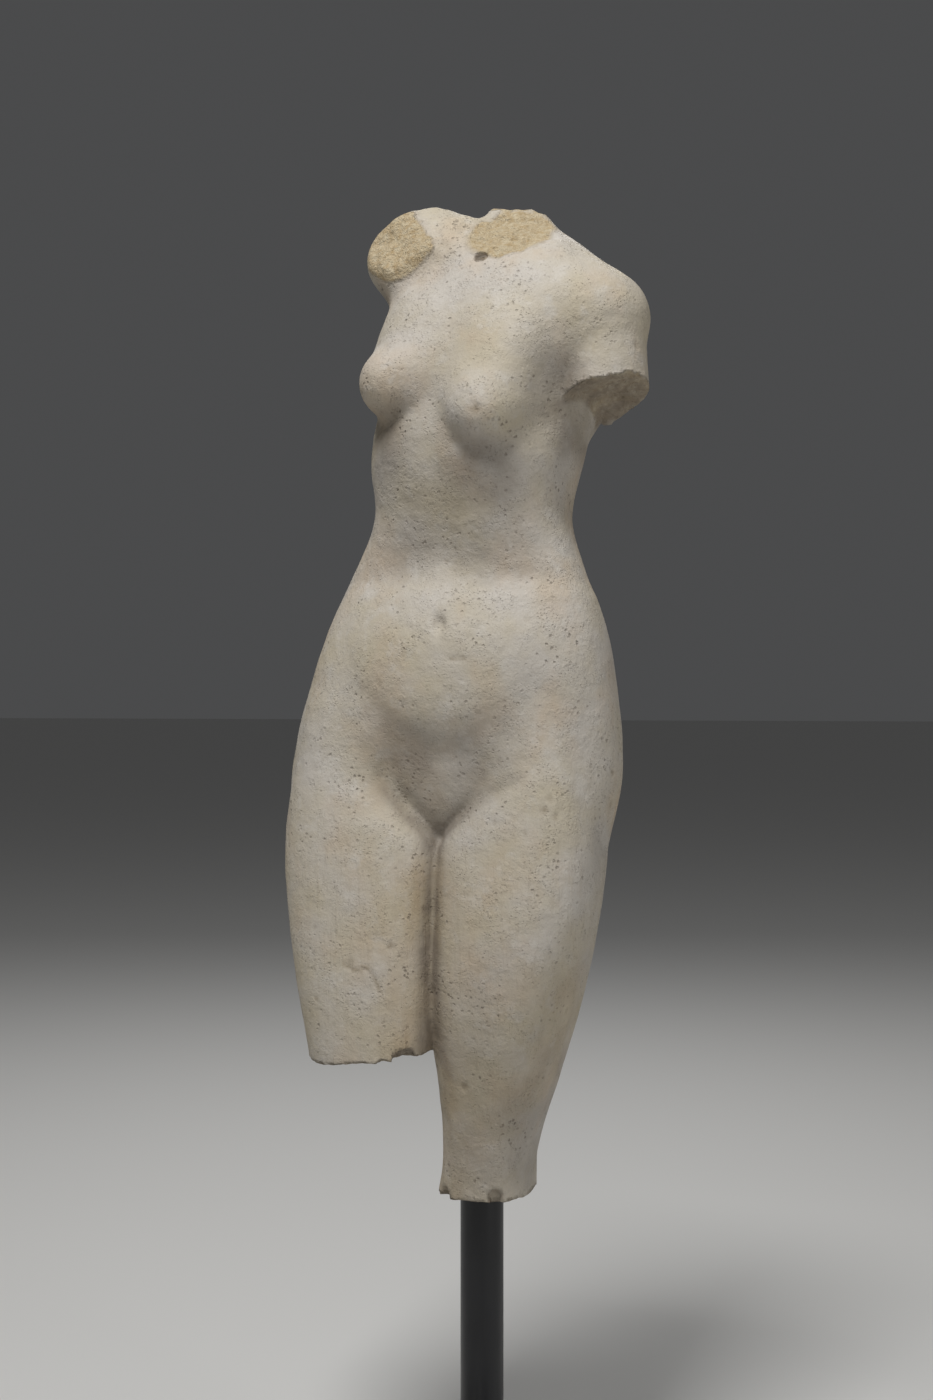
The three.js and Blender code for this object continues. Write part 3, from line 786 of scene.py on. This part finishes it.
def look(thing, at, target):
    """Places a light or camera and points it at a target."""
    thing.location = at
    thing.rotation_euler = Vector(np.subtract(target, at)).to_track_quat("-Z", "Y").to_euler()


def add_light(name, size, power, at, target):
    """A square white soft light, its side in metres and its power in watts, turned to a target."""
    data = bpy.data.lights.new(name, "AREA")
    data.size = size
    data.energy = power
    light = bpy.data.objects.new(name, data)
    scene.collection.objects.link(light)
    look(light, at, target)


LENS = 45.0
SENSOR = 36.0
DISTANCE = 1750 * LIFE
EYE_HEIGHT = TORSO_BOX[0][2] + (500 - KNEE_BREAK) * LIFE
camera = bpy.data.objects.new("camera", bpy.data.cameras.new("camera"))
camera.data.lens = LENS
camera.data.sensor_width = SENSOR
scene.collection.objects.link(camera)
aim = -ACROSS * 15.5 * LIFE + np.array([0, 0, EYE_HEIGHT])
look(camera, aim + TOWARDS * DISTANCE, aim)
scene.camera = camera

middle = np.array([0, 0, EYE_HEIGHT])
above = middle + TOWARDS * 0.80 - ACROSS * 0.34 + np.array([0, 0, 1.62])
add_light("key", 0.5, 26, above, middle)
beside = middle + TOWARDS * 1.0 + ACROSS * 1.2 + np.array([0, 0, 0.15])
add_light("side_fill", 0.7, 3.6, beside, middle - np.array([0, 0, 0.15]))
behind = middle - TOWARDS * 1.3 + np.array([0, 0, 1.1])
add_light("back_light", 0.8, 7.0, behind, middle)
world = bpy.data.worlds.new("studio")
scene.world = world
world.use_nodes = True
world.node_tree.nodes["Background"].inputs["Color"].default_value = linear("#d9dadc")
world.node_tree.nodes["Background"].inputs["Strength"].default_value = 0.10

FLOOR_HALF = 40.0
FLOOR_BELOW = 0.2 * MM
corners = np.array([[-1, -1, 0], [1, -1, 0], [1, 1, 0], [-1, 1, 0]]) * FLOOR_HALF - [0, 0, FLOOR_BELOW]
floor_mesh = mesh_object("floor", corners, [[0, 1, 2, 3]], False)
floor_material, _, floor_shader = new_material("matt_floor_paint")
floor_shader.inputs["Base Color"].default_value = linear("#e4e3e0")
floor_shader.inputs["Roughness"].default_value = 0.9
floor_mesh.data.materials.append(floor_material)
